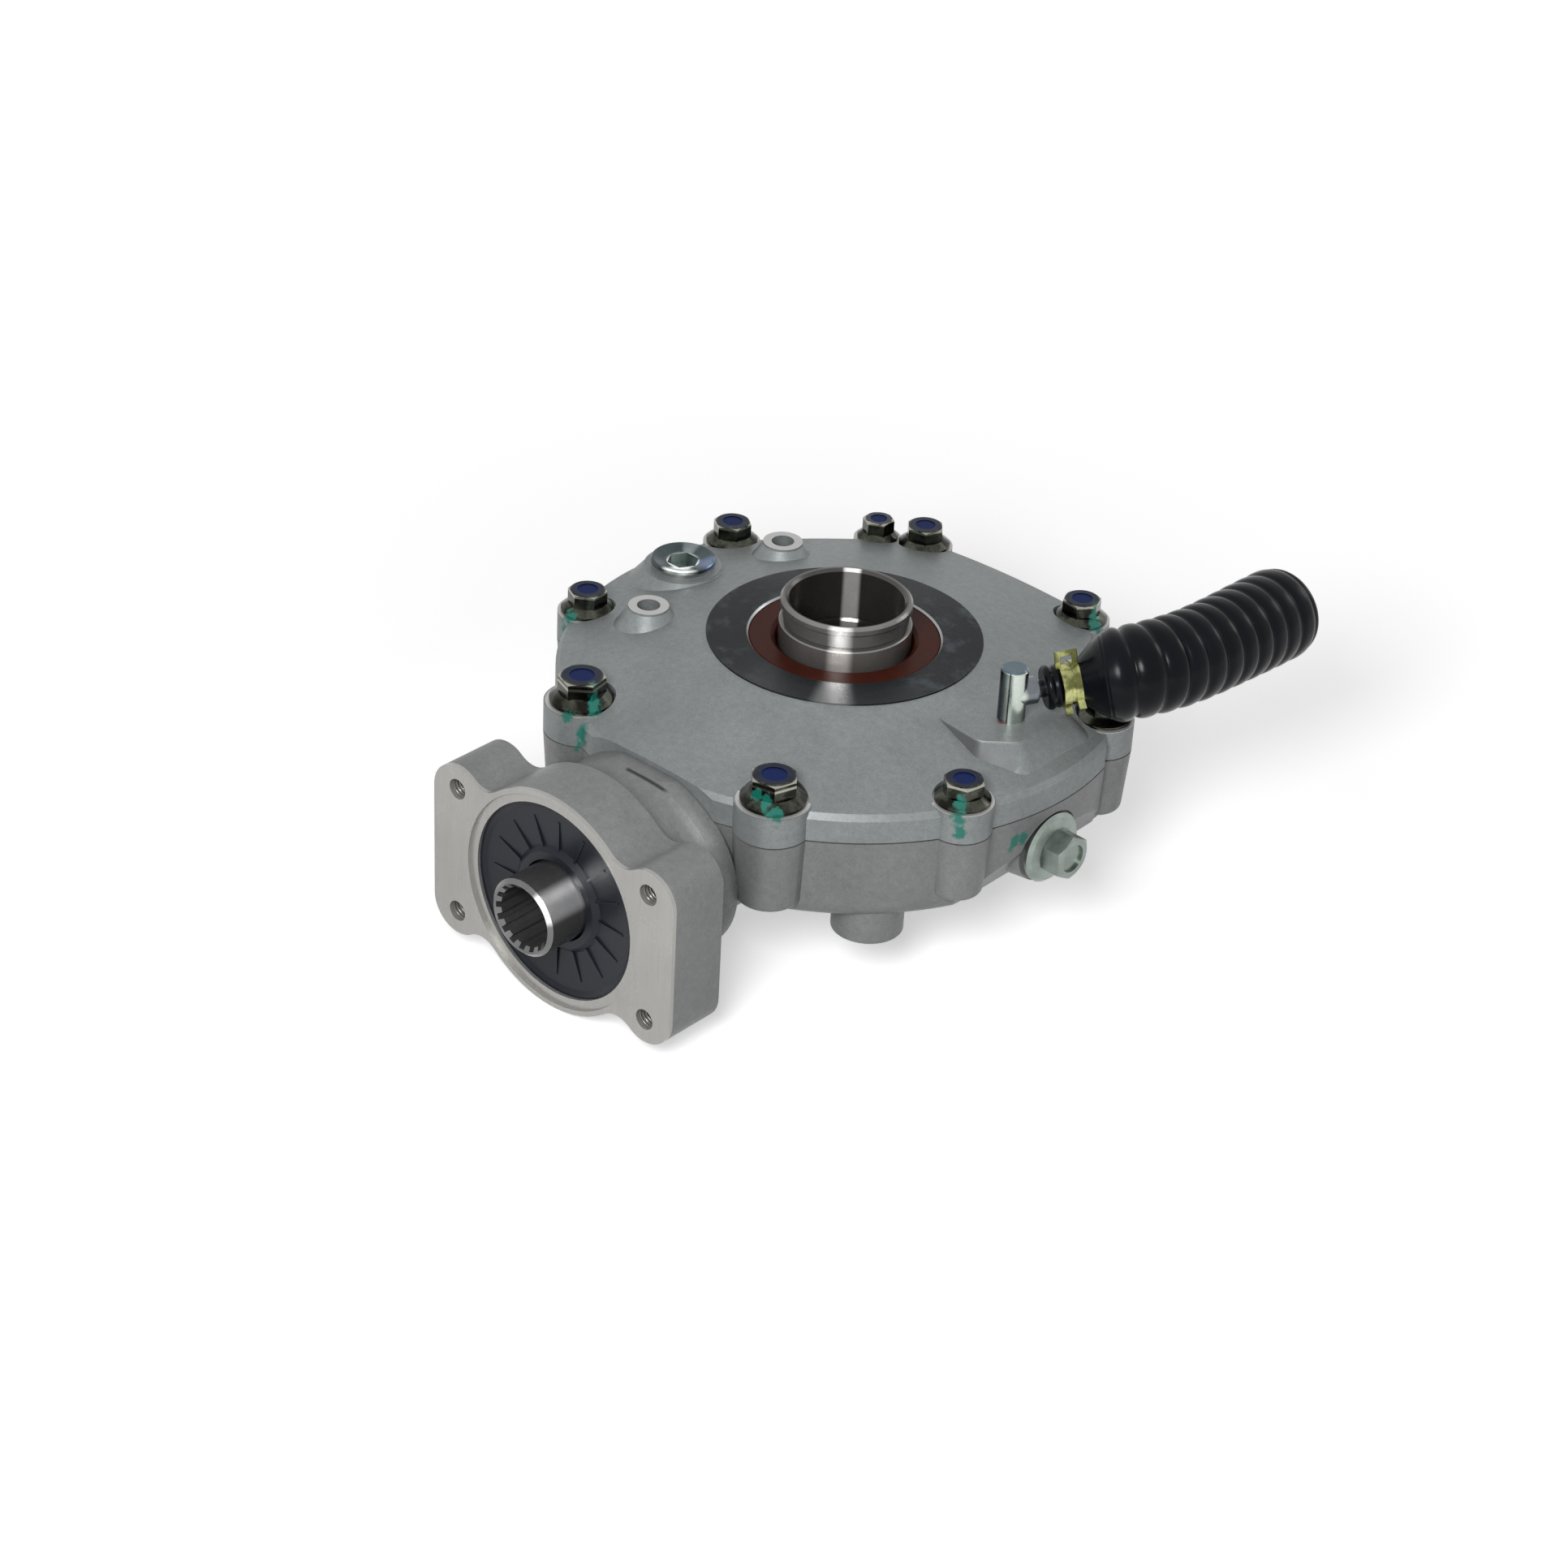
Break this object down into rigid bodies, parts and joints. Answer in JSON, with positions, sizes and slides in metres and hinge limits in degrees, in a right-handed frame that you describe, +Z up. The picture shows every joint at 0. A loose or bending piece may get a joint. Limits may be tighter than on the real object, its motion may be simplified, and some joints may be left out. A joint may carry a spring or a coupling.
{
  "type": "rear differential",
  "caption": "Bevel final drive with an open differential in a bolted aluminium case: flanged splined input, hollow output hubs and a vent with bellows.",
  "frame": {"origin": "on the output axis at the machined ring face of the cover", "axes": "+Z up along the output axis out of the cover, -Y out of the input flange, +X towards the vent and the drain plug"},
  "size_m": [0.2172, 0.2593, 0.1121],
  "materials": {
    "cast_aluminium": "fine-blasted casting, satin",
    "gasket_paper": "matt",
    "hard_steel": "ground",
    "olive_zinc": "olive zinc plating, low gloss",
    "bright_zinc": "bright zinc plating",
    "soft_aluminium": "satin",
    "spring_clip": "yellow zinc plating",
    "bellows_rubber": "smooth, half gloss",
    "seal_rubber": "smooth",
    "bearing_steel": "polished",
    "cage_plastic": "matt",
    "gear_steel": "phosphated",
    "turned_steel": "turned, bright",
    "shield_plastic": "moulded, low gloss"
  },
  "bodies": {
    "housing": {"case": "cast_aluminium", "cover": "cast_aluminium", "cover_gasket": "gasket_paper", "locating_dowels": "hard_steel", "cover_bolts_m8": "olive_zinc", "cover_bolts_m10": "olive_zinc", "cover_bolt_m6": "olive_zinc", "fill_plug": "bright_zinc", "fill_plug_gasket": "soft_aluminium", "drain_plug": "bright_zinc", "drain_plug_gasket": "soft_aluminium", "vent_fitting": "bright_zinc", "vent_clip": "spring_clip", "vent_bellows": "bellows_rubber", "upper_oil_seal": "seal_rubber", "lower_oil_seal": "seal_rubber", "upper_bearing_outer_ring": "bearing_steel", "lower_bearing_outer_ring": "bearing_steel", "input_bearing_outer_ring": "bearing_steel", "needle_bearing_cup": "bearing_steel", "retainer_nut": "hard_steel", "input_oil_seal": "seal_rubber", "dust_shield": "shield_plastic"},
    "carrier": {"differential_case": "turned_steel", "ring_gear": "gear_steel", "ring_gear_bolts": "hard_steel", "cross_pin": "hard_steel", "cross_pin_lock_pin": "hard_steel", "upper_side_washer": "hard_steel", "lower_side_washer": "hard_steel", "right_spider_washer": "hard_steel", "left_spider_washer": "hard_steel", "upper_bearing_inner_ring": "bearing_steel", "lower_bearing_inner_ring": "bearing_steel"},
    "input_shaft": {"pinion_shaft": "gear_steel", "input_coupler": "turned_steel", "coupler_circlip": "hard_steel", "input_bearing_inner_ring": "bearing_steel"},
    "upper_output": {"upper_side_gear": "gear_steel"},
    "lower_output": {"lower_side_gear": "gear_steel"},
    "right_spider": {"right_spider_gear": "gear_steel"},
    "left_spider": {"left_spider_gear": "gear_steel"},
    "upper_rollers": {"upper_bearing_balls": "bearing_steel", "upper_bearing_cage": "cage_plastic"},
    "lower_rollers": {"lower_bearing_balls": "bearing_steel", "lower_bearing_cage": "cage_plastic"},
    "input_rollers": {"input_bearing_balls": "bearing_steel", "input_bearing_cage": "cage_plastic"},
    "needle_rollers": {"needle_bearing_needles": "bearing_steel"}
  },
  "joints": [
    {"name": "carrier_spin", "type": "hinge", "parent": "housing", "child": "carrier", "pos_m": [0, 0, -0.045], "axis": [0, 0, 1], "continuous": true},
    {"name": "input_spin", "type": "hinge", "parent": "housing", "child": "input_shaft", "pos_m": [0, -0.1, -0.045], "axis": [0, 1, 0], "continuous": true},
    {"name": "upper_side_gear_spin", "type": "hinge", "parent": "carrier", "child": "upper_output", "pos_m": [0, 0, -0.04225], "axis": [0, 0, 1], "continuous": true},
    {"name": "lower_side_gear_spin", "type": "hinge", "parent": "carrier", "child": "lower_output", "pos_m": [0, 0, -0.04225], "axis": [0, 0, 1], "continuous": true},
    {"name": "right_spider_spin", "type": "hinge", "parent": "carrier", "child": "right_spider", "pos_m": [0, 0, -0.04225], "axis": [1, 0, 0], "continuous": true},
    {"name": "left_spider_spin", "type": "hinge", "parent": "carrier", "child": "left_spider", "pos_m": [0, 0, -0.04225], "axis": [1, 0, 0], "continuous": true},
    {"name": "upper_cage_spin", "type": "hinge", "parent": "housing", "child": "upper_rollers", "pos_m": [0, 0, -0.014], "axis": [0, 0, 1], "continuous": true},
    {"name": "lower_cage_spin", "type": "hinge", "parent": "housing", "child": "lower_rollers", "pos_m": [0, 0, -0.0705], "axis": [0, 0, 1], "continuous": true},
    {"name": "input_cage_spin", "type": "hinge", "parent": "housing", "child": "input_rollers", "pos_m": [0, -0.103, -0.045], "axis": [0, 1, 0], "continuous": true},
    {"name": "needle_cage_spin", "type": "hinge", "parent": "housing", "child": "needle_rollers", "pos_m": [0, -0.078, -0.045], "axis": [0, 1, 0], "continuous": true}
  ],
  "couplings": [
    {"joint": "input_spin", "follows": "carrier_spin", "ratio": 3.3636},
    {"joint": "lower_side_gear_spin", "follows": "upper_side_gear_spin", "ratio": -1},
    {"joint": "right_spider_spin", "follows": "upper_side_gear_spin", "ratio": -1.6},
    {"joint": "left_spider_spin", "follows": "upper_side_gear_spin", "ratio": 1.6},
    {"joint": "upper_cage_spin", "follows": "carrier_spin", "ratio": 0.43982},
    {"joint": "lower_cage_spin", "follows": "carrier_spin", "ratio": 0.43982},
    {"joint": "input_cage_spin", "follows": "carrier_spin", "ratio": 1.2799},
    {"joint": "needle_cage_spin", "follows": "carrier_spin", "ratio": 1.5425}
  ]
}
